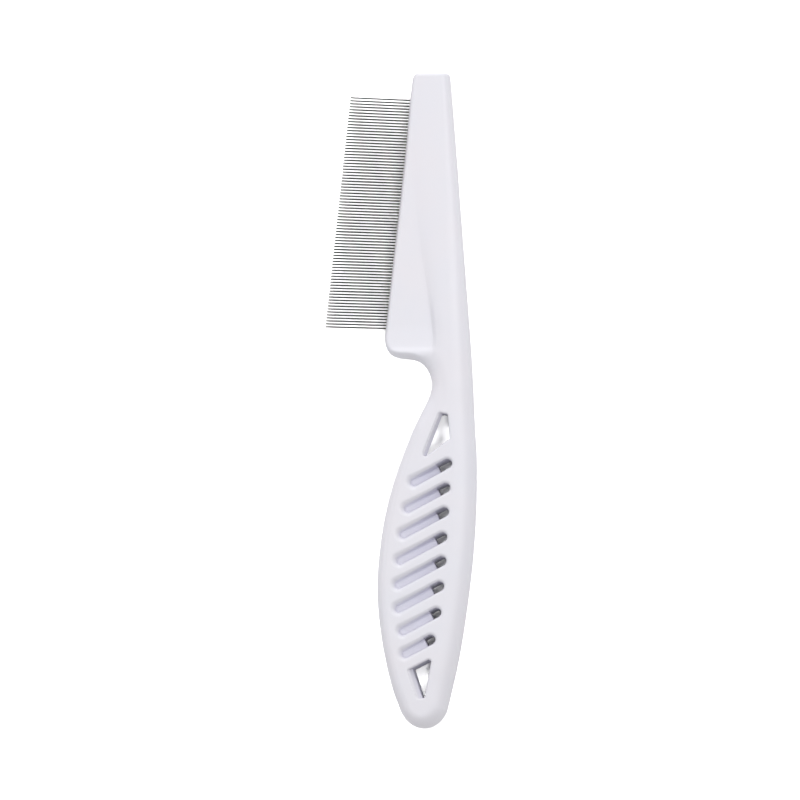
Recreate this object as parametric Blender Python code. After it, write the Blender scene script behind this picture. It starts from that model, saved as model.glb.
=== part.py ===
"""Flea comb: one moulded plastic handle, with 39 steel hairpin wires moulded into its head.

Frame: +Z out of the comb's front face, +Y along the comb towards the tip of its head, and the
teeth point to -X. The comb lies on its back, and the origin is on that plane, under the middle
of the whole comb. Lengths below are in millimetres, and MM turns them into Blender's metres.
"""
import math

import bmesh
import bpy
from mathutils import Matrix, Vector

MM = 0.001

# Overall
LENGTH = 180.0
THICKNESS = 10.0
MIDPLANE = THICKNESS / 2
TIP_Y = LENGTH / 2
BUTT_Y = -LENGTH / 2

# Spine: the grip and the rib that runs on from it along the back of the head.
# Each row is y, left edge, right edge, thickness, width of the left and of the right roll-off.
# The first row meets the grip's rounded end, and the last one the head's flat end.
SPINE = (
    (-85.5, 0.1, 12.65, 9.1, 2.6, 4.4),
    (-80.0, -1.95, 14.0, 9.5, 3.0, 5.3),
    (-71.5, -4.1, 15.9, 9.9, 3.0, 5.8),
    (-66.0, -5.1, 16.9, 10.0, 3.0, 6.0),
    (-58.0, -6.1, 18.1, 10.0, 3.0, 6.0),
    (-51.0, -6.4, 19.0, 10.0, 3.0, 6.0),
    (-43.0, -5.9, 19.9, 10.0, 3.0, 6.0),
    (-33.0, -4.5, 20.6, 10.0, 3.0, 6.0),
    (-24.0, -2.3, 20.9, 10.0, 3.0, 6.0),
    (-16.0, 0.4, 20.85, 10.0, 3.0, 6.0),
    (-8.0, 3.6, 20.4, 10.0, 3.0, 6.0),
    (-2.5, 6.3, 20.15, 10.0, 3.0, 5.6),
    (1.0, 8.0, 20.0, 10.0, 3.1, 5.2),
    (4.5, 8.7, 19.85, 10.0, 3.3, 5.0),
    (9.0, 8.6, 19.6, 10.0, 3.8, 4.8),
    (14.0, 8.3, 19.3, 10.0, 4.2, 4.6),
    (25.0, 7.2, 18.5, 10.0, 4.6, 4.4),
    (35.0, 5.9, 17.75, 9.8, 4.6, 4.2),
    (45.0, 4.2, 17.0, 9.0, 4.4, 3.9),
    (57.0, 2.6, 16.2, 7.9, 3.6, 3.4),
    (68.0, 2.2, 15.3, 7.1, 2.6, 2.9),
    (78.0, 2.2, 14.55, 6.7, 1.7, 2.4),
    (84.0, 2.75, 14.05, 6.5, 1.4, 2.1),
    (89.0, 3.45, 13.6, 6.4, 1.3, 1.9),
)
ARC_STEPS = 5  # along each roll-off
BUTT_CENTRE = (6.38, -82.0)  # the grip ends in the low part of an ellipse around this point
BUTT_HALF_WIDTH = 6.97
BUTT_STEPS = 6
BUTT_ROUNDING = 3.6  # how far from the end the thickness starts to fall
TIP_ROUNDING = 1.0  # the last row of SPINE is this far below the end
TIP_STEPS = 3

# Head plate, whose straight left edge holds the teeth
PLATE_THICKNESS = 5.8
PLATE_BEVEL = 1.2
ROOT_LOW = (-3.75, 19.95)  # the root line, at the last tooth
ROOT_HIGH = (2.37, 82.8)  # the same line, at the first tooth
PLATE_OUTLINE = (  # anticlockwise: the heel, the arch of the neck, then up inside the spine
    (-4.3, 17.4),
    (-4.15, 15.0),
    (-2.9, 12.8),
    (-0.7, 11.7),
    (2.2, 11.4),
    (4.7, 10.8),
    (6.75, 9.0),
    (8.2, 6.3),
    (8.9, 3.0),
    (12.5, 2.0),
    (12.5, 30.0),
    (9.0, 60.0),
    (8.0, 86.5),
    (3.6, 86.5),
)

# Slots across the grip: pockets whose floor slopes down to a window through to the back
SLOT_ANGLE = math.radians(27.0)
SLOT_WIDTH = 2.75
SLOT_SHALLOW = 1.8  # depth of the floor at a slot's left end
LOWEST_SLOT_DEPTH = 3.4  # and at its window, in the lowest slot
HIGHEST_SLOT_DEPTH = 5.4  # and in the highest
SLOT_ARC_STEPS = 6
WINDOW_LENGTH = 3.2
WINDOW_INSET = 0.06  # the window's walls stand in from the slot's
SLOTS = (  # right end, and length from end to end
    (14.4, -17.3, 12.8),
    (13.9, -23.95, 14.1),
    (13.5, -30.55, 15.1),
    (13.05, -37.45, 15.6),
    (12.8, -44.0, 15.8),
    (12.2, -50.9, 15.0),
    (11.4, -58.1, 12.9),
    (9.8, -65.5, 10.3),
)

# Holes through the grip, at its neck and at its butt
NECK_HOLE = ((11.0, -3.9), (5.95, -16.8), (13.95, -11.1), (13.35, -4.4))
HANGING_HOLE = ((2.4, -74.5), (4.75, -81.9), (7.1, -81.9), (8.95, -71.2))
HANGING_DRAFT = 8.0  # fall of the hanging hole's left wall for each millimetre to the right
HOLE_CORNER = 0.5
HOLE_CORNER_STEPS = 3
THROUGH = 2.0  # how far a cutter stands proud of each face

# Teeth: each wire is a hairpin, and its two legs are two neighbouring teeth
WIRES = 39
TEETH = 2 * WIRES
WIRE_RADIUS = 0.225
FIRST_TIP = (-14.0, 83.8)
LAST_TIP = (-20.9, 20.65)
BURIED = 5.5  # straight length of each leg inside the plastic
BEND_STEPS = 4
WIRE_CLEARANCE = 0.06
MOUTH = 2.5  # how far a wire's tunnel cutter runs out past the root line

WHITE_PLASTIC = ((0.77, 0.76, 0.80, 1.0), 0.34, 0.0)
STAINLESS = ((0.56, 0.56, 0.57, 1.0), 0.28, 1.0)


def clear_scene():
    for obj in list(bpy.data.objects):
        bpy.data.objects.remove(obj, do_unlink=True)


def new_collection(name):
    collection = bpy.data.collections.new(name)
    bpy.context.scene.collection.children.link(collection)
    return collection


def new_material(name, look):
    colour, roughness, metallic = look
    material = bpy.data.materials.new(name)
    material.use_nodes = True
    shader = material.node_tree.nodes["Principled BSDF"]
    shader.inputs["Base Color"].default_value = colour
    shader.inputs["Roughness"].default_value = roughness
    shader.inputs["Metallic"].default_value = metallic
    return material


def add_object(name, mesh, collection):
    obj = bpy.data.objects.new(name, mesh)
    collection.objects.link(obj)
    return obj


def finish_mesh(build, name):
    """A mesh from bmesh geometry in millimetres, with its faces turned out."""
    bmesh.ops.scale(build, vec=(MM, MM, MM), verts=build.verts)
    bmesh.ops.recalc_face_normals(build, faces=build.faces)
    mesh = bpy.data.meshes.new(name)
    build.to_mesh(mesh)
    build.free()
    return mesh


def mark_as_tool(obj):
    obj.hide_render = True
    obj.display_type = "WIRE"


def boolean(target, tool, operation):
    modifier = target.modifiers.new(f"{operation.lower()}_{tool.name}", "BOOLEAN")
    modifier.operation = operation
    modifier.solver = "EXACT"
    modifier.object = tool


def apply_modifiers(obj):
    bpy.context.view_layer.update()
    evaluated = obj.evaluated_get(bpy.context.evaluated_depsgraph_get())
    mesh = bpy.data.meshes.new_from_object(evaluated)
    obj.modifiers.clear()
    obj.data = mesh
    mesh.name = obj.name


def section(y, left, right, thickness, roll_left, roll_right):
    """One closed ring around the spine: a flat on each face, and elliptical roll-offs."""
    half = thickness / 2
    front = []
    for step in range(ARC_STEPS + 1):
        angle = math.pi / 2 * step / ARC_STEPS
        front.append((left + roll_left * (1 - math.cos(angle)), half * math.sin(angle)))
    for step in range(ARC_STEPS, -1, -1):
        angle = math.pi / 2 * step / ARC_STEPS
        front.append((right - roll_right * (1 - math.cos(angle)), half * math.sin(angle)))
    back = [(x, -z) for x, z in reversed(front[1:-1])]
    return [Vector((x, y, MIDPLANE + z)) for x, z in front + back]


def butt_sections():
    """Rings of the grip's rounded end, from the butt up to the spine's first section."""
    centre_x, centre_y = BUTT_CENTRE
    first_y, left, right, thickness, roll_left, roll_right = SPINE[0]
    start = math.asin((first_y - centre_y) / (BUTT_Y - centre_y))
    rings = []
    for step in range(BUTT_STEPS, 0, -1):
        angle = start + (math.pi / 2 - start) * (step - 0.2) / (BUTT_STEPS - 0.2)
        y = centre_y + (BUTT_Y - centre_y) * math.sin(angle)
        half_width = BUTT_HALF_WIDTH * math.cos(angle)
        sunk = max(0.0, 1 - (y - BUTT_Y) / BUTT_ROUNDING)
        shrink = 2 * half_width / (right - left)
        rings.append(
            section(
                y,
                centre_x - half_width,
                centre_x + half_width,
                thickness * math.sqrt(max(1 - sunk**2, 0.05)),
                roll_left * shrink,
                roll_right * shrink,
            )
        )
    rings[0] = [Vector((p.x, BUTT_Y, p.z)) for p in rings[0]]
    return rings


def tip_sections():
    """Rings of the head's flat end, with its small edge radius."""
    _, left, right, thickness, roll_left, roll_right = SPINE[-1]
    rings = []
    for step in range(1, TIP_STEPS + 1):
        angle = math.pi / 2 * step / TIP_STEPS
        inset = TIP_ROUNDING * (1 - math.cos(angle))
        rings.append(
            section(
                TIP_Y - TIP_ROUNDING * (1 - math.sin(angle)),
                left + inset,
                right - inset,
                thickness - 2 * inset,
                roll_left,
                roll_right,
            )
        )
    return rings


def make_spine(collection):
    rings = butt_sections()
    rings += [section(*row) for row in SPINE]
    rings += tip_sections()
    build = bmesh.new()
    loops = [[build.verts.new(point) for point in ring] for ring in rings]
    count = len(loops[0])
    for low, high in zip(loops, loops[1:]):
        for i in range(count):
            j = (i + 1) % count
            build.faces.new((low[i], low[j], high[j], high[i]))
    build.faces.new(loops[0])
    build.faces.new(reversed(loops[-1]))
    return add_object("handle", finish_mesh(build, "handle"), collection)


def mesh_from_curve(curve_object, name, collection):
    """The curve as a welded closed mesh, in the curve's place."""
    bpy.context.view_layer.update()
    evaluated = curve_object.evaluated_get(bpy.context.evaluated_depsgraph_get())
    mesh = bpy.data.meshes.new_from_object(evaluated)
    mesh.name = name
    build = bmesh.new()
    build.from_mesh(mesh)
    bmesh.ops.remove_doubles(build, verts=build.verts, dist=1e-7)
    bmesh.ops.recalc_face_normals(build, faces=build.faces)
    build.to_mesh(mesh)
    build.free()
    obj = add_object(name, mesh, collection)
    obj.matrix_world = curve_object.matrix_world
    bpy.data.objects.remove(curve_object, do_unlink=True)
    return obj


def make_plate(collection):
    """The flat of the head, from its straight tooth edge to inside the spine."""
    curve = bpy.data.curves.new("head_plate_outline", "CURVE")
    curve.dimensions = "2D"
    curve.fill_mode = "BOTH"
    curve.extrude = (PLATE_THICKNESS / 2 - PLATE_BEVEL) * MM
    curve.bevel_depth = PLATE_BEVEL * MM
    curve.bevel_resolution = 2
    curve.offset = -PLATE_BEVEL * MM
    spline = curve.splines.new("POLY")
    spline.points.add(len(PLATE_OUTLINE) - 1)
    for point, (x, y) in zip(spline.points, PLATE_OUTLINE):
        point.co = (x * MM, y * MM, 0.0, 1.0)
    spline.use_cyclic_u = True
    guide = add_object("head_plate_outline", curve, collection)
    guide.location.z = MIDPLANE * MM
    return mesh_from_curve(guide, "head_plate", collection)


def prism(name, outline, floor, ceiling, collection, fold=None):
    """An upright prism. floor is a function of x, and folds once, at outline point fold and at 0."""
    build = bmesh.new()
    low = [build.verts.new((x, y, floor(x))) for x, y in outline]
    high = [build.verts.new((x, y, ceiling)) for x, y in outline]
    count = len(outline)
    for i in range(count):
        j = (i + 1) % count
        build.faces.new((low[i], low[j], high[j], high[i]))
    if fold is None:
        build.faces.new(low)
    else:
        build.faces.new(low[: fold + 1])
        build.faces.new(low[fold:] + low[:1])
    build.faces.new(high)
    return add_object(name, finish_mesh(build, name), collection)


def half_round(radius, centre_x, start):
    """The points of half a circle, anticlockwise from the start angle."""
    points = []
    for step in range(SLOT_ARC_STEPS + 1):
        angle = start + math.pi * step / SLOT_ARC_STEPS
        points.append((centre_x + radius * math.cos(angle), radius * math.sin(angle)))
    return points


def place_slot(obj, end_x, end_y):
    obj.location = (end_x * MM, end_y * MM, 0.0)
    obj.rotation_euler = (0.0, 0.0, SLOT_ANGLE)


def make_slot_tools(number, end_x, end_y, length, collection):
    """A slot's own x runs along it, and is zero at its deep right end."""
    radius = SLOT_WIDTH / 2
    low_y, high_y = SLOTS[-1][1], SLOTS[0][1]
    share = (end_y - low_y) / (high_y - low_y)
    depth = LOWEST_SLOT_DEPTH + (HIGHEST_SLOT_DEPTH - LOWEST_SLOT_DEPTH) * share
    fall = (depth - SLOT_SHALLOW) / (length - WINDOW_LENGTH)
    deep_end = half_round(radius, -radius, -math.pi / 2)
    shallow_end = half_round(radius, radius - length, math.pi / 2)
    outline = [(-WINDOW_LENGTH, -radius)] + deep_end + [(-WINDOW_LENGTH, radius)] + shallow_end
    pocket = prism(
        f"slot_pocket_{number}",
        outline,
        lambda x: THICKNESS - depth + fall * max(0.0, -WINDOW_LENGTH - x),
        THICKNESS + THROUGH,
        collection,
        fold=len(deep_end) + 1,
    )
    inner = radius - WINDOW_INSET
    opening = half_round(inner, -radius, -math.pi / 2)
    opening += [(-WINDOW_LENGTH, inner), (-WINDOW_LENGTH, -inner)]
    window = prism(
        f"slot_window_{number}", opening, lambda x: -THROUGH, THICKNESS + THROUGH, collection
    )
    place_slot(pocket, end_x, end_y)
    place_slot(window, end_x, end_y)
    return pocket, window


def rounded(corners, radius):
    """A polygon's outline with each corner replaced by an arc."""
    points = []
    for before, corner, after in zip(corners[-1:] + corners[:-1], corners, corners[1:] + corners[:1]):
        here = Vector(corner)
        to_before = (Vector(before) - here).normalized()
        to_after = (Vector(after) - here).normalized()
        half_angle = to_before.angle(to_after) / 2
        centre = here + (to_before + to_after).normalized() * radius / math.sin(half_angle)
        start = here + to_before * radius / math.tan(half_angle) - centre
        sweep = math.pi - 2 * half_angle
        for step in range(HOLE_CORNER_STEPS + 1):
            turned = Matrix.Rotation(sweep * step / HOLE_CORNER_STEPS, 2) @ start
            points.append(tuple(centre + turned))
    return points


def make_neck_hole_tool(collection):
    outline = rounded(NECK_HOLE, HOLE_CORNER)
    return prism("neck_hole", outline, lambda x: -THROUGH, THICKNESS + THROUGH, collection)


def make_hanging_hole_tool(collection):
    """The left wall slants, so the hole narrows towards the back."""
    outline = rounded(HANGING_HOLE, HOLE_CORNER)
    left = HANGING_HOLE[0][0]
    return prism(
        "hanging_hole",
        outline,
        lambda x: THICKNESS - HANGING_DRAFT * (x - left),
        THICKNESS + THROUGH,
        collection,
    )


def tooth_line(index):
    """The tip and the root of one tooth, counted from the heel."""
    share = index / (TEETH - 1)
    tip = Vector(LAST_TIP).lerp(Vector(FIRST_TIP), share)
    root = Vector(ROOT_LOW).lerp(Vector(ROOT_HIGH), share)
    return tip, root


def hairpin_route(number, outer):
    """Points along one hairpin wire. outer is how far its legs run out past the root line."""
    low_tip, low_root = tooth_line(2 * number)
    high_tip, high_root = tooth_line(2 * number + 1)
    inward = (low_root - low_tip).normalized()
    low_start = low_tip if outer is None else low_root - inward * outer
    high_start = high_tip if outer is None else high_root - inward * outer
    low_end = low_root + inward * BURIED
    high_end = high_root + inward * BURIED
    centre = (low_end + high_end) / 2
    across = low_end - centre
    route = [low_start]
    for step in range(BEND_STEPS + 1):
        angle = math.pi * step / BEND_STEPS
        route.append(centre + across * math.cos(angle) + inward * across.length * math.sin(angle))
    return route + [high_start]


def make_wire(name, route, radius, collection):
    curve = bpy.data.curves.new(name, "CURVE")
    curve.dimensions = "3D"
    curve.bevel_depth = radius * MM
    curve.bevel_resolution = 2
    curve.use_fill_caps = True
    spline = curve.splines.new("POLY")
    spline.points.add(len(route) - 1)
    for point, place in zip(spline.points, route):
        point.co = (place.x * MM, place.y * MM, MIDPLANE * MM, 1.0)
    return mesh_from_curve(add_object(f"{name}_path", curve, collection), name, collection)


def make_tunnels(collection):
    """The hollows that the buried ends of the wires lie in, as one tool."""
    build = bmesh.new()
    for number in range(WIRES):
        tunnel = make_wire(
            f"tunnel_{number + 1:02d}",
            hairpin_route(number, MOUTH),
            WIRE_RADIUS + WIRE_CLEARANCE,
            collection,
        )
        build.from_mesh(tunnel.data)
        bpy.data.objects.remove(tunnel, do_unlink=True)
    mesh = bpy.data.meshes.new("wire_tunnels")
    build.to_mesh(mesh)
    build.free()
    return add_object("wire_tunnels", mesh, collection)


def make_handle(parts, tools, plastic):
    handle = make_spine(parts)
    plate = make_plate(tools)
    mark_as_tool(plate)
    boolean(handle, plate, "UNION")
    cutters = [make_neck_hole_tool(tools), make_hanging_hole_tool(tools)]
    for number, (end_x, end_y, length) in enumerate(SLOTS, start=1):
        cutters += make_slot_tools(number, end_x, end_y, length, tools)
    cutters.append(make_tunnels(tools))
    for cutter in cutters:
        mark_as_tool(cutter)
        boolean(handle, cutter, "DIFFERENCE")
    apply_modifiers(handle)
    handle.data.materials.clear()
    handle.data.materials.append(plastic)
    handle.data.shade_smooth()
    handle.data.set_sharp_from_angle(angle=math.radians(35))
    return handle


def make_teeth(parts, steel):
    for number in range(WIRES):
        name = f"tooth_wire_{number + 1:02d}"
        wire = make_wire(name, hairpin_route(number, None), WIRE_RADIUS, parts)
        wire.data.materials.append(steel)
        wire.data.shade_smooth()
        wire.data.set_sharp_from_angle(angle=math.radians(50))


def main():
    clear_scene()
    parts = new_collection("flea_comb")
    tools = new_collection("cutters")
    make_handle(parts, tools, new_material("white_plastic", WHITE_PLASTIC))
    make_teeth(parts, new_material("stainless_steel", STAINLESS))


main()
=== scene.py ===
"""Looks of the flea comb: a satin white moulding with a row of fine steel wire teeth.

Lengths are in millimetres until they reach Blender, which takes metres. The frame is the CAD
model's: +Z out of the comb's front face, +Y along the comb to the tip of its head, and the
teeth point to -X. The comb lies on its back on the floor.
"""
import math

import bmesh
import bpy
import numpy as np
from mathutils import Matrix, Vector


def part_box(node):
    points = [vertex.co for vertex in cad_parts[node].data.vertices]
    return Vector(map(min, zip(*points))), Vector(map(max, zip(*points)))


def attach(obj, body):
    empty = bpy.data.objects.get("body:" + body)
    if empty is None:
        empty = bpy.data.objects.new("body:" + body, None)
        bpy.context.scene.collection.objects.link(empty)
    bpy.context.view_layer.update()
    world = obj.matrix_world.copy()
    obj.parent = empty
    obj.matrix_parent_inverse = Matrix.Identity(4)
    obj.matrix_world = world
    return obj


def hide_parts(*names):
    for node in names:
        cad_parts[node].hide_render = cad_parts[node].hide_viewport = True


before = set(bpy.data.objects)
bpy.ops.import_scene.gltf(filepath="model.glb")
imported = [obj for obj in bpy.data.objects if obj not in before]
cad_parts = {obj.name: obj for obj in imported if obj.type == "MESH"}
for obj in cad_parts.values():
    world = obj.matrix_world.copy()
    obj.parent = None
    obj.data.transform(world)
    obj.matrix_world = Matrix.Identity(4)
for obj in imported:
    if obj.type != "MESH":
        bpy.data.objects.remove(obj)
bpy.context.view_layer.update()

MM = 0.001

# The handle's driving sizes, which are the CAD part's
COMB_LENGTH = 180.0
THICKNESS = 10.0
MIDPLANE = THICKNESS / 2
TIP_Y = COMB_LENGTH / 2
TIP_ROUNDING = 1.0

# Outline in plan. The left edge runs down from above the tip: the tooth edge, the heel, the
# finger notch and the grip. The butt is the low part of an ellipse.
LEFT_EDGE = (
    (4.4, 96.0),
    (2.75, 84.0),
    (2.2, 78.0),
    (1.6, 71.0),
    (0.1, 57.0),
    (-2.3, 36.0),
    (-4.1, 19.5),
    (-4.35, 17.2),
    (-4.05, 14.8),
    (-2.9, 12.8),
    (-0.7, 11.75),
    (2.2, 11.45),
    (4.7, 10.8),
    (6.9, 9.0),
    (8.25, 6.3),
    (8.55, 3.9),
    (7.85, 0.7),
    (6.3, -2.5),
    (3.6, -8.0),
    (0.4, -16.0),
    (-2.3, -24.0),
    (-4.5, -33.0),
    (-5.9, -43.0),
    (-6.4, -51.0),
    (-6.1, -58.0),
    (-5.1, -66.0),
    (-4.1, -71.5),
    (-1.95, -80.0),
    (0.1, -85.5),
)
RIGHT_EDGE = (
    (12.65, -85.5),
    (14.0, -80.0),
    (15.9, -71.5),
    (18.1, -58.0),
    (19.9, -43.0),
    (20.6, -33.0),
    (20.88, -24.0),
    (20.85, -16.0),
    (20.4, -8.0),
    (19.85, 4.5),
    (19.3, 14.0),
    (18.5, 25.0),
    (17.0, 45.0),
    (15.3, 68.0),
    (14.05, 84.0),
    (13.1, 96.0),
)
EDGE_STEP = 1.2  # between the points of the finished outline
BUTT_CENTRE = (6.38, -82.0)
BUTT_HALF_WIDTH = 6.97
BUTT_LENGTH = 8.0
BUTT_STEPS = 24

# Cross sections: y, half thickness of the rib and of the plate, width of the left and of the
# right roll-off, and where the rib rises out of the plate and over what width
STATIONS = np.array(
    (
        (-90.0, 4.5, 4.5, 3.6, 4.2, 9.0, 2.0),
        (-85.5, 4.6, 4.6, 3.4, 4.6, 9.0, 2.0),
        (-80.0, 4.75, 4.75, 3.2, 5.4, 9.0, 2.0),
        (-71.5, 4.95, 4.95, 3.0, 5.9, 9.0, 2.0),
        (-66.0, 5.0, 5.0, 3.0, 6.1, 9.0, 2.0),
        (-2.5, 5.0, 5.0, 3.0, 5.9, 9.0, 1.5),
        (4.5, 5.0, 4.8, 2.6, 5.5, 9.0, 1.3),
        (9.0, 5.0, 4.4, 2.2, 5.3, 9.1, 1.2),
        (12.5, 5.0, 4.4, 1.7, 5.1, 9.3, 1.0),
        (14.5, 5.0, 3.8, 1.5, 5.1, 9.3, 1.0),
        (17.0, 4.95, 3.35, 1.3, 5.0, 9.25, 1.0),
        (21.0, 4.9, 2.95, 1.2, 4.9, 8.95, 1.0),
        (28.0, 4.65, 2.9, 1.2, 4.8, 8.05, 1.6),
        (35.0, 4.25, 2.9, 1.2, 4.6, 7.0, 2.4),
        (45.0, 3.65, 2.9, 1.2, 4.3, 5.5, 3.4),
        (57.0, 3.35, 2.9, 1.2, 3.8, 4.2, 3.6),
        (68.0, 3.25, 2.95, 1.2, 3.3, 3.0, 3.6),
        (84.0, 3.2, 3.0, 1.2, 2.5, 3.0, 3.6),
        (90.0, 3.2, 3.0, 1.2, 2.3, 3.0, 3.6),
    )
)
MIDDLE_LOW = 5.0  # the left edge's roll-off gives way to the right edge's between these x
MIDDLE_HIGH = 10.0
CREASE_FILLET = 0.4
ROLL_POWER = 2.3  # 2 would make every roll-off a quarter of an ellipse

# Slots: right end, length from end to end, and the window's length
SLOT_ANGLE = math.radians(27.0)
SLOT_RADIUS = 1.375
SLOT_SHALLOW = 2.2  # the floor's depth at a slot's left end
SLOT_DEEP = (3.4, 5.4)  # and at its window, in the lowest slot and in the highest
SLOT_DRAFT = (0.04, 0.12)  # slant of a slot's upper wall at the right end, and at the left
SLOT_TAPER = 0.25  # how much less the half width is at the left, where the upper wall is lower
SLOT_FILLET = 0.6
WINDOW_INSET = 0.06
LIP_RIGHT = 0.8
LIP_LEFT = 1.6
SLOTS = (
    (14.4, -17.3, 12.8, 4.2),
    (13.9, -23.95, 14.1, 3.6),
    (13.5, -30.55, 15.1, 3.5),
    (13.05, -37.45, 15.6, 3.5),
    (12.8, -44.0, 15.8, 3.5),
    (12.2, -50.9, 15.0, 3.7),
    (11.4, -58.1, 12.9, 3.0),
    (9.8, -65.5, 10.3, 2.9),
)

# Holes: corners, with the left wall's two first, and that wall's slope: its width, its fall for
# each millimetre of width, and the share of the width that it still has at the back
NECK_HOLE = ((11.0, -3.9), (5.95, -16.8), (13.95, -11.1), (13.35, -4.4))
NECK_SLOPE = (0.9, 2.2, -0.5)
HANGING_HOLE = ((2.4, -74.5), (4.95, -82.1), (6.95, -82.1), (8.95, -71.2))
HANGING_SLOPE = (1.3, 1.6, 1.0)
HOLE_FLARE = 0.03  # the other walls stand back by this much per millimetre of depth
HOLE_CORNER = 0.6
HOLE_LIP = 0.6

# The handle's mesh
GRID_STEP = 0.3
GRID_MARGIN = 0.75
TRIANGLES = 180_000
SETTLE_ROUNDS = 2
PROBE = 0.01  # step over which the field's gradient is taken
TINY = 1e-6  # keeps a power away from zero
# The recess mask sets how much painted shade the plastic takes: a darker, bluer white deep in
# slots and holes.
RECESS = "recess_shade_mask"  # how far a point of the surface lies inside the uncut handle, from 0 to 1
RECESS_DEPTH = 3.5  # where that reaches 1

# Teeth
WIRES = 39
TEETH = 2 * WIRES
WIRE_RADIUS = 0.225
FIRST_TIP = (-14.0, 83.8)
LAST_TIP = (-20.9, 20.65)
ROOT_LOW = (-3.75, 19.95)
ROOT_HIGH = (2.37, 82.8)
BURIED = 5.5
BEND_STEPS = 12
WIRE_ROUNDNESS = 4  # gives a wire 12 sides
MERGE_DISTANCE = 1e-7  # in metres
TIP_PROFILE = ((0.0, 0.55), (0.05, 0.8), (0.14, 0.95), (0.28, 1.0))  # along, and share of radius

# Materials: linear colours, roughness from and to, and relief in metres
WARM_WHITE = (0.782, 0.762, 0.808, 1.0)
COOL_WHITE = (0.763, 0.76, 0.816, 1.0)
# The third white is painted shade, not the plastic's own colour: a slightly darker, bluer white
# for the insides of slots and holes, where shade falls.
RECESS_PAINTED_SHADE = (0.757, 0.75, 0.85, 1.0)
PLASTIC_ROUGHNESS = (0.37, 0.45)
CLOUD_SCALE = 60
GLOSS_SCALE = 260
GRAIN_SCALE = 1800
GRAIN_RELIEF = 0.000012
DARK_STEEL = (0.07, 0.068, 0.066, 1.0)
PALE_STEEL = (0.125, 0.122, 0.118, 1.0)
STEEL_ROUGHNESS = (0.22, 0.36)
STREAK_SCALE = 6000
STREAK_STRETCH = (60, 1, 1)  # streaks are this much longer than wide
STREAK_TURN = math.radians(-3.0)  # the teeth lean this far from the X axis
STREAK_RELIEF = 0.000004
NOISE_MIDDLE = (0.3, 0.7)  # most of a noise's values lie between these

# The stage, in metres but for the powers, which are in watts
FLOOR_HALF = 3.0
FLOOR_LEVEL = -0.0002
CARD_LEVEL = -0.0004
FLOOR_ALBEDO = 0.95
FLOOR_ROUGHNESS = 0.9
WORLD_STRENGTH = 0.465
LIGHT_DISTANCE = 1.2
SOFTBOXES = (  # name, azimuth and elevation in degrees, size and power
    ("tip_softbox", 0, 30, (0.9, 0.5), 5.6),
    ("spine_softbox", 70, 60, (0.6, 0.6), 3.4),
    ("teeth_softbox", 270, 30, (0.9, 0.5), 1.8),
    ("top_softbox", 0, 90, (0.5, 0.5), 1.9),
)
BACKDROP_LIGHTS = (  # the same, for lights that reach the floor alone
    ("backdrop_tip", 0, 77.5, (0.2, 0.2), 6.0),
    ("backdrop_teeth", 270, 77, (0.2, 0.2), 7.0),
    ("backdrop_butt", 150, 70, (0.2, 0.2), 8.5),
    ("backdrop_spine", 60, 63, (0.2, 0.2), 8.0),
)
CAMERA_SIDE = (0.12, -0.11, 1.0)  # from the comb to the camera
CAMERA_DISTANCE = 4.0
CAMERA_SHIFT = (-0.00125, 0.0009375)
SENSOR_WIDTH = 36.0  # in millimetres, as the lens is
COMB_SHARE = 0.8175  # of the view's height, which the comb's length takes up

# ---------------------------------------------------------------- fields: below zero is inside


def round_max(a, b, radius):
    """The overlap of two shapes, with the edge where they meet rounded."""
    outside = np.hypot(np.maximum(a + radius, 0), np.maximum(b + radius, 0))
    return np.minimum(np.maximum(a, b), -radius) + outside


def smooth_curve(knots, values, at):
    """A cubic through the knots that never runs past them, and goes on straight at the ends."""
    steps = np.diff(knots)
    chords = np.diff(values) / steps
    inner = (chords[:-1] * steps[1:] + chords[1:] * steps[:-1]) / (steps[1:] + steps[:-1])
    limit = 3 * np.minimum(np.abs(chords[:-1]), np.abs(chords[1:]))
    inner = np.where(chords[:-1] * chords[1:] > 0, np.clip(inner, -limit, limit), 0.0)
    grades = np.concatenate((chords[:1], inner, chords[-1:]))
    i = np.clip(np.searchsorted(knots, at) - 1, 0, len(steps) - 1)
    held = np.clip(at, knots[0], knots[-1])
    t = (held - knots[i]) / steps[i]
    rise = values[i] + (values[i + 1] - values[i]) * t * t * (3 - 2 * t)
    bend = steps[i] * t * (1 - t) * (grades[i] * (1 - t) - grades[i + 1] * t)
    beyond = (at - held) * np.where(at > held, grades[-1], grades[0])
    return rise + bend + beyond


def outline_distance(x, y, corners):
    """Distance to a closed outline, negative inside it."""
    nearest = np.full(np.broadcast(x, y).shape, np.inf)
    crossings = np.zeros(nearest.shape, bool)
    for (ax, ay), (bx, by) in zip(corners, np.roll(corners, -1, axis=0)):
        dx, dy = bx - ax, by - ay
        t = np.clip(((x - ax) * dx + (y - ay) * dy) / (dx * dx + dy * dy), 0, 1)
        nearest = np.minimum(nearest, (x - ax - t * dx) ** 2 + (y - ay - t * dy) ** 2)
        if dy != 0:
            level = (ay > y) != (by > y)
            crossings ^= level & (x < ax + (y - ay) * dx / dy)
    return np.where(crossings, -1, 1) * np.sqrt(nearest)


def slab(depth, z, half, roll):
    """A slab about the midplane whose edge rolls off over the given width. depth is in plan."""
    rise = np.maximum(np.abs(z - MIDPLANE), TINY) / half
    inset = np.maximum(roll - depth, 0) / roll
    reach = (rise**ROLL_POWER + inset**ROLL_POWER) ** (1 / ROLL_POWER)
    slope = np.hypot(rise ** (ROLL_POWER - 1) / half, inset ** (ROLL_POWER - 1) / roll)
    return (reach - 1) * reach ** (ROLL_POWER - 1) / slope


def edge_curve(corners):
    """Points along a smooth curve through the corners."""
    corners = np.array(corners)
    along = np.concatenate(([0], np.cumsum(np.hypot(*np.diff(corners, axis=0).T))))
    at = np.linspace(0, along[-1], round(along[-1] / EDGE_STEP) + 1)
    return np.stack([smooth_curve(along, corners[:, i], at) for i in range(2)], axis=1)


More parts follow.
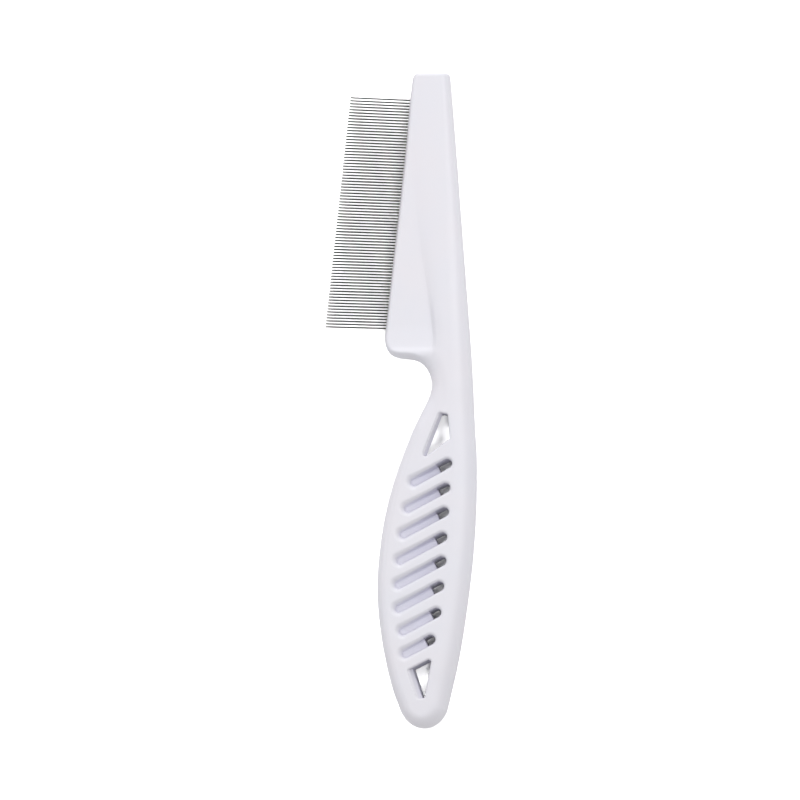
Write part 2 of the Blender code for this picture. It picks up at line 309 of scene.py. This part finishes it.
def handle_outline():
    """The left edge down to the butt, round it, and up the right edge."""
    start = math.asin((BUTT_CENTRE[1] - LEFT_EDGE[-1][1]) / BUTT_LENGTH)
    turn = np.linspace(math.pi + start, 2 * math.pi - start, BUTT_STEPS)[1:-1]
    butt_x = BUTT_CENTRE[0] + BUTT_HALF_WIDTH * np.cos(turn)
    butt_y = BUTT_CENTRE[1] + BUTT_LENGTH * np.sin(turn)
    butt = np.stack((butt_x, butt_y), axis=1)
    return np.concatenate((edge_curve(LEFT_EDGE), butt, edge_curve(RIGHT_EDGE)))


OUTLINE = handle_outline()


def blank_field(x, y, z):
    """The handle before its slots and holes are cut."""
    held = np.clip(y, STATIONS[0, 0], STATIONS[-1, 0])
    rib, plate, roll_left, roll_right, crease, spread = (
        smooth_curve(STATIONS[:, 0], column, held) for column in STATIONS[:, 1:].T
    )
    past = x - crease
    past = (past + np.hypot(past, CREASE_FILLET)) / 2
    half = plate + (rib - plate) * (1 - np.exp(-past / spread))
    side = np.clip((x - MIDDLE_LOW) / (MIDDLE_HIGH - MIDDLE_LOW), 0, 1)
    roll = roll_left + (roll_right - roll_left) * side * side * (3 - 2 * side)
    depth = -outline_distance(x, y, OUTLINE)
    return round_max(slab(depth, z, half, roll), y - TIP_Y, TIP_ROUNDING)


def cut_slot(body, x, y, z, end_x, end_y, length, window_length):
    """Cuts one slot. Its own measure, along, is zero at its deep right end."""
    cos, sin = math.cos(SLOT_ANGLE), math.sin(SLOT_ANGLE)
    along = (x - end_x) * cos + (y - end_y) * sin
    across = (y - end_y) * cos - (x - end_x) * sin
    share = np.clip(-along / length, 0, 1)

    deep = np.interp(end_y, (SLOTS[-1][1], SLOTS[0][1]), SLOT_DEEP)
    fall = (deep - SLOT_SHALLOW) / (length - window_length)
    floor = THICKNESS - deep + fall * np.maximum(-window_length - along, 0)
    draft = SLOT_DRAFT[0] + (SLOT_DRAFT[1] - SLOT_DRAFT[0]) * share
    lean = draft * np.maximum(THICKNESS - z, 0) / 2
    taper = SLOT_TAPER * share
    past_end = along - np.clip(along, SLOT_RADIUS - SLOT_TAPER - length, -SLOT_RADIUS)
    pocket_wall = np.hypot(past_end, np.abs(across + taper + lean) + lean) - SLOT_RADIUS + taper
    pocket = round_max(pocket_wall, (floor - z) / math.hypot(1, fall), SLOT_FILLET)

    past_end = along - np.clip(along, SLOT_RADIUS - length, -SLOT_RADIUS)
    window_wall = np.hypot(past_end, across) - SLOT_RADIUS + WINDOW_INSET
    window = np.maximum(window_wall, -window_length - along)
    lip = LIP_RIGHT + (LIP_LEFT - LIP_RIGHT) * share * share
    return round_max(body, -np.minimum(pocket, window), lip)


def hole_distance(x, y, corners):
    """Distance to a hole's outline with round corners."""
    corners = np.array(corners)
    inset = []
    for before, here, after in zip(np.roll(corners, 1, 0), corners, np.roll(corners, -1, 0)):
        one = (before - here) / np.hypot(*(before - here))
        two = (after - here) / np.hypot(*(after - here))
        sine = abs(one[0] * two[1] - one[1] * two[0])
        inset.append(here + (one + two) * HOLE_CORNER / sine)
    return outline_distance(x, y, np.array(inset)) - HOLE_CORNER


def cut_hole(body, x, y, z, corners, slope):
    """Cuts a hole through. Its left wall slopes in to a ridge and goes on to the back below it."""
    width, fall, kept = slope
    (top_x, top_y), (low_x, low_y) = corners[:2]
    side = math.hypot(top_x - low_x, top_y - low_y)
    inset = abs((x - top_x) * (top_y - low_y) - (y - top_y) * (top_x - low_x)) / side
    ridge = THICKNESS - fall * width
    slope_face = (THICKNESS - fall * inset - z) / math.hypot(1, fall)
    lean = width * (1 - kept) / ridge
    back_face = (width * kept + lean * z - inset) / math.hypot(1, lean)
    wall = np.minimum(slope_face, back_face)
    hole = np.maximum(hole_distance(x, y, corners) - HOLE_FLARE * (THICKNESS - z), wall)
    return round_max(body, -hole, HOLE_LIP)


def handle_field(x, y, z):
    """The finished handle."""
    body = blank_field(x, y, z)
    for slot in SLOTS:
        body = cut_slot(body, x, y, z, *slot)
    body = cut_hole(body, x, y, z, NECK_HOLE, NECK_SLOPE)
    return cut_hole(body, x, y, z, HANGING_HOLE, HANGING_SLOPE)


# ---------------------------------------------------------------- meshes


def surface_net(field, corner, step):
    """The field's zero surface as points and quads, with one point in each cell it crosses."""
    owners, places, quads = [], [], []
    for axis in range(3):
        ahead = np.roll(field, -1, axis)
        index = np.argwhere((field < 0) != (ahead < 0))
        here = field[tuple(index.T)]
        there = ahead[tuple(index.T)]
        place = index.astype(float)
        place[:, axis] += here / (here - there)
        side = np.eye(3, dtype=int)[(axis + 1) % 3]
        up = np.eye(3, dtype=int)[(axis + 2) % 3]
        around = [index, index - side, index - side - up, index - up]
        cells = np.stack([np.ravel_multi_index(tuple(c.T), field.shape) for c in around], axis=1)
        owners.append(cells.ravel())
        places.append(np.repeat(place, 4, axis=0))
        quads.append(np.where((here < 0)[:, None], cells, cells[:, ::-1]))
    owners, places = np.concatenate(owners), np.concatenate(places)
    used, slots = np.unique(owners, return_inverse=True)
    count = np.bincount(slots)
    points = np.stack([np.bincount(slots, places[:, i]) / count for i in range(3)], axis=1)
    return corner + points * step, np.searchsorted(used, np.concatenate(quads))


def value_and_gradient(points):
    """The handle field's value and gradient at each point."""
    value = handle_field(*points.T)
    shifted = [handle_field(*(points + PROBE * axis).T) for axis in np.eye(3)]
    return value, np.stack([(s - value) / PROBE for s in shifted], axis=1)


def finished_mesh(source):
    """The mesh that an object's curve or modifiers make. The object itself is taken away."""
    bpy.context.scene.collection.objects.link(source)
    bpy.context.view_layer.update()
    evaluated = source.evaluated_get(bpy.context.evaluated_depsgraph_get())
    mesh = bpy.data.meshes.new_from_object(evaluated)
    bpy.data.objects.remove(source, do_unlink=True)
    return mesh


def rough_handle():
    """The handle's surface on a grid, with triangles joined where it is flattest."""
    low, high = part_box("handle")
    low = np.array(low) / MM - GRID_MARGIN
    high = np.array(high) / MM + GRID_MARGIN
    x, y, z = (np.arange(a, b, GRID_STEP) for a, b in zip(low, high))
    field = handle_field(x[:, None, None], y[None, :, None], z[None, None, :])
    points, quads = surface_net(field, low, GRID_STEP)
    mesh = bpy.data.meshes.new("rough_handle")
    mesh.from_pydata(points, [], quads)
    source = bpy.data.objects.new("rough_handle", mesh)
    modifier = source.modifiers.new("thin_out", "DECIMATE")
    modifier.ratio = min(1.0, TRIANGLES / (2 * len(quads)))
    thinned = finished_mesh(source)
    bpy.data.meshes.remove(mesh)
    return thinned


def handle_mesh():
    """The rough handle moved onto the exact surface, with that surface's own normals and a mask
    for painted shade deep in its slots and holes.
    """
    mesh = rough_handle()
    mesh.name = "comb_handle"
    points = np.empty(len(mesh.vertices) * 3)
    mesh.vertices.foreach_get("co", points)
    points = points.reshape(-1, 3)
    for _ in range(SETTLE_ROUNDS):
        value, gradient = value_and_gradient(points)
        points -= gradient * (value / (gradient**2).sum(axis=1))[:, None]
    _, gradient = value_and_gradient(points)
    mesh.vertices.foreach_set("co", (points * MM).ravel())
    mesh.shade_smooth()
    normals = gradient / np.linalg.norm(gradient, axis=1)[:, None]
    mesh.normals_split_custom_set_from_vertices(normals)
    # The mask for the painted shade inside the slots and holes: how deep each point lies in the
    # uncut handle.
    recess_shade_mask = mesh.attributes.new(RECESS, "FLOAT", "POINT")
    recess_shade_mask.data.foreach_set("value", np.clip(-blank_field(*points.T) / RECESS_DEPTH, 0, 1))
    mesh.update()
    return mesh


def tooth_line(index):
    """Where one tooth's tip is, and where it meets the head. Teeth count from the lowest."""
    share = index / (TEETH - 1)
    tip = Vector(LAST_TIP).lerp(Vector(FIRST_TIP), share)
    root = Vector(ROOT_LOW).lerp(Vector(ROOT_HIGH), share)
    return tip, root


def hairpin_route(number):
    """One wire: in along a tooth, round a bend in the head, and out along the next tooth.

    Each point goes with the share of the wire's radius that it has there.
    """
    low_tip, low_root = tooth_line(2 * number)
    high_tip, high_root = tooth_line(2 * number + 1)
    inward = (low_root - low_tip).normalized()
    low_end = low_root + inward * BURIED
    high_end = high_root + inward * BURIED
    centre = (low_end + high_end) / 2
    across = low_end - centre
    route = [(low_tip + inward * along, radius) for along, radius in TIP_PROFILE]
    for step in range(BEND_STEPS + 1):
        angle = math.pi * step / BEND_STEPS
        point = centre + across * math.cos(angle) + inward * across.length * math.sin(angle)
        route.append((point, 1.0))
    route += [(high_tip + inward * along, radius) for along, radius in reversed(TIP_PROFILE)]
    return route


def hairpin_mesh(number):
    route = hairpin_route(number)
    curve = bpy.data.curves.new("hairpin", "CURVE")
    curve.dimensions = "3D"
    curve.bevel_depth = WIRE_RADIUS * MM
    curve.bevel_resolution = WIRE_ROUNDNESS
    curve.use_fill_caps = True
    spline = curve.splines.new("POLY")
    spline.points.add(len(route) - 1)
    for point, (place, radius) in zip(spline.points, route):
        point.co = (place.x * MM, place.y * MM, MIDPLANE * MM, 1.0)
        point.radius = radius
    mesh = finished_mesh(bpy.data.objects.new("hairpin", curve))
    bpy.data.curves.remove(curve)
    build = bmesh.new()
    build.from_mesh(mesh)
    bmesh.ops.remove_doubles(build, verts=build.verts, dist=MERGE_DISTANCE)
    bmesh.ops.recalc_face_normals(build, faces=build.faces)
    build.to_mesh(mesh)
    build.free()
    mesh.shade_smooth()
    return mesh


def add_piece(name, mesh, material, slot, *nodes):
    piece = bpy.data.objects.new(name, mesh)
    bpy.context.scene.collection.objects.link(piece)
    mesh.materials.clear()
    mesh.materials.append(material)
    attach(piece, "root")
    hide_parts(*nodes)


# ---------------------------------------------------------------- materials


def new_material(name):
    material = bpy.data.materials.new(name)
    material.use_nodes = True
    return material, material.node_tree, material.node_tree.nodes["Principled BSDF"]


def noise(tree, scale, detail, stretch=(1, 1, 1), turn=0.0):
    """Noise fixed to the piece, in cells of about 1 / scale metres, turned about Z."""
    place = tree.nodes.new("ShaderNodeTexCoord")
    mapping = tree.nodes.new("ShaderNodeMapping")
    mapping.vector_type = "TEXTURE"
    mapping.inputs["Rotation"].default_value = (0, 0, turn)
    mapping.inputs["Scale"].default_value = stretch
    texture = tree.nodes.new("ShaderNodeTexNoise")
    texture.inputs["Scale"].default_value = scale
    texture.inputs["Detail"].default_value = detail
    tree.links.new(place.outputs["Object"], mapping.inputs["Vector"])
    tree.links.new(mapping.outputs["Vector"], texture.inputs["Vector"])
    return texture.outputs["Fac"]


def spread(tree, value, low, high):
    """Takes the middle of a noise's range to low and high."""
    span = tree.nodes.new("ShaderNodeMapRange")
    span.inputs["From Min"].default_value = NOISE_MIDDLE[0]
    span.inputs["From Max"].default_value = NOISE_MIDDLE[1]
    span.inputs["To Min"].default_value = low
    span.inputs["To Max"].default_value = high
    tree.links.new(value, span.inputs["Value"])
    return span.outputs["Result"]


def tint(tree, share, one, other):
    """A colour between two, by a share from 0 to 1. Each colour is fixed, or another output."""
    mix = tree.nodes.new("ShaderNodeMix")
    mix.data_type = "RGBA"
    # A Mix node has a set of sockets for each kind of data, and these are the ones for colour
    factor, first, second, result = mix.inputs[0], mix.inputs[6], mix.inputs[7], mix.outputs[2]
    for socket, colour in ((first, one), (second, other)):
        if isinstance(colour, tuple):
            socket.default_value = colour
        else:
            tree.links.new(colour, socket)
    tree.links.new(share, factor)
    return result


def relief(tree, height, depth, shader):
    """Raises the surface by height times depth, in metres."""
    bump = tree.nodes.new("ShaderNodeBump")
    bump.inputs["Distance"].default_value = depth
    tree.links.new(height, bump.inputs["Height"])
    tree.links.new(bump.outputs["Normal"], shader.inputs["Normal"])


def plastic_material():
    """Moulded plastic: faint warm and cool clouds, painted shade that makes it darker and bluer
    deep in slots and holes, and a fine satin grain from the mould.
    """
    material, tree, shader = new_material("satin_white_plastic")
    clouds = spread(tree, noise(tree, CLOUD_SCALE, 2), 0, 1)
    colour = tint(tree, clouds, WARM_WHITE, COOL_WHITE)
    # Painted shade: the deeper a point lies inside the uncut handle, the darker and bluer its
    # white.
    recess_shade_mask = tree.nodes.new("ShaderNodeAttribute")
    recess_shade_mask.attribute_name = RECESS
    colour = tint(tree, recess_shade_mask.outputs["Fac"], colour, RECESS_PAINTED_SHADE)
    tree.links.new(colour, shader.inputs["Base Color"])
    gloss = spread(tree, noise(tree, GLOSS_SCALE, 3), *PLASTIC_ROUGHNESS)
    tree.links.new(gloss, shader.inputs["Roughness"])
    relief(tree, noise(tree, GRAIN_SCALE, 2), GRAIN_RELIEF, shader)
    return material


def steel_material():
    """Drawn wire, with scratches and streaks that run along it."""
    material, tree, shader = new_material("drawn_steel_wire")
    shader.inputs["Metallic"].default_value = 1.0
    streaks = noise(tree, STREAK_SCALE, 3, STREAK_STRETCH, STREAK_TURN)
    colour = tint(tree, spread(tree, streaks, 0, 1), DARK_STEEL, PALE_STEEL)
    tree.links.new(colour, shader.inputs["Base Color"])
    gloss = spread(tree, streaks, *STEEL_ROUGHNESS)
    tree.links.new(gloss, shader.inputs["Roughness"])
    relief(tree, streaks, STREAK_RELIEF, shader)
    return material


# ---------------------------------------------------------------- stage


def add_plane(name, level):
    """A level square of plain pale material."""
    corners = [(-FLOOR_HALF, -FLOOR_HALF), (FLOOR_HALF, -FLOOR_HALF)]
    corners += [(FLOOR_HALF, FLOOR_HALF), (-FLOOR_HALF, FLOOR_HALF)]
    mesh = bpy.data.meshes.new(name)
    mesh.from_pydata([(x, y, level) for x, y in corners], [], [(0, 1, 2, 3)])
    plane = bpy.data.objects.new(name, mesh)
    bpy.context.scene.collection.objects.link(plane)
    material, _, shader = new_material(name)
    shader.inputs["Base Color"].default_value = (FLOOR_ALBEDO, FLOOR_ALBEDO, FLOOR_ALBEDO, 1.0)
    shader.inputs["Roughness"].default_value = FLOOR_ROUGHNESS
    shader.inputs["Specular IOR Level"].default_value = 0.0
    mesh.materials.append(material)
    return plane


def add_floor():
    """The floor that is seen, and the card under it that throws light back at the comb."""
    floor = add_plane("floor", FLOOR_LEVEL)
    floor.visible_diffuse = False
    floor.visible_glossy = False
    floor.visible_shadow = False
    card = add_plane("bounce_card", CARD_LEVEL)
    card.visible_camera = False
    return floor


def add_softbox(name, azimuth, elevation, size, power):
    """Azimuth 0 is over the comb's tip, and 90 on its spine's side."""
    light = bpy.data.lights.new(name, "AREA")
    light.shape = "RECTANGLE"
    light.size, light.size_y = size
    light.energy = power
    lamp = bpy.data.objects.new(name, light)
    azimuth, elevation = math.radians(azimuth), math.radians(elevation)
    level = math.cos(elevation)
    way = Vector((math.sin(azimuth) * level, math.cos(azimuth) * level, math.sin(elevation)))
    lamp.location = way * LIGHT_DISTANCE
    lamp.rotation_euler = way.to_track_quat("Z", "Y").to_euler()
    bpy.context.scene.collection.objects.link(lamp)
    return lamp


def add_lights(floor):
    """The studio's lights, and the ones that are linked to the floor alone."""
    for light in SOFTBOXES:
        add_softbox(*light)
    backdrop = bpy.data.collections.new("backdrop")
    backdrop.objects.link(floor)
    for light in BACKDROP_LIGHTS:
        add_softbox(*light).light_linking.receiver_collection = backdrop


def add_world():
    world = bpy.data.worlds.new("studio")
    world.use_nodes = True
    background = world.node_tree.nodes["Background"]
    background.inputs["Color"].default_value = (1.0, 1.0, 1.0, 1.0)
    background.inputs["Strength"].default_value = WORLD_STRENGTH
    bpy.context.scene.world = world


def add_camera():
    camera = bpy.data.cameras.new("camera")
    holder = bpy.data.objects.new("camera", camera)
    bpy.context.scene.collection.objects.link(holder)
    back = Vector(CAMERA_SIDE).normalized()
    up = (Vector((0, 1, 0)) - back * back.y).normalized()
    right = up.cross(back)
    turn = Matrix((right, up, back)).transposed().to_4x4()
    place = Vector((0, 0, MIDPLANE * MM)) + back * CAMERA_DISTANCE
    holder.matrix_world = Matrix.Translation(place) @ turn
    view_height = COMB_LENGTH * MM * up.y / COMB_SHARE
    camera.sensor_width = SENSOR_WIDTH
    camera.lens = SENSOR_WIDTH * CAMERA_DISTANCE / view_height
    camera.shift_x, camera.shift_y = CAMERA_SHIFT
    bpy.context.scene.camera = holder


def main():
    plastic = plastic_material()
    steel = steel_material()
    add_piece("comb_handle", handle_mesh(), plastic, "white_plastic", "handle")
    for number in range(WIRES):
        name = f"tooth_pair_{number + 1:02d}"
        node = f"tooth_wire_{number + 1:02d}"
        add_piece(name, hairpin_mesh(number), steel, "steel_wire", node)
    add_world()
    add_lights(add_floor())
    add_camera()
    bpy.context.scene.view_settings.view_transform = "Standard"


main()
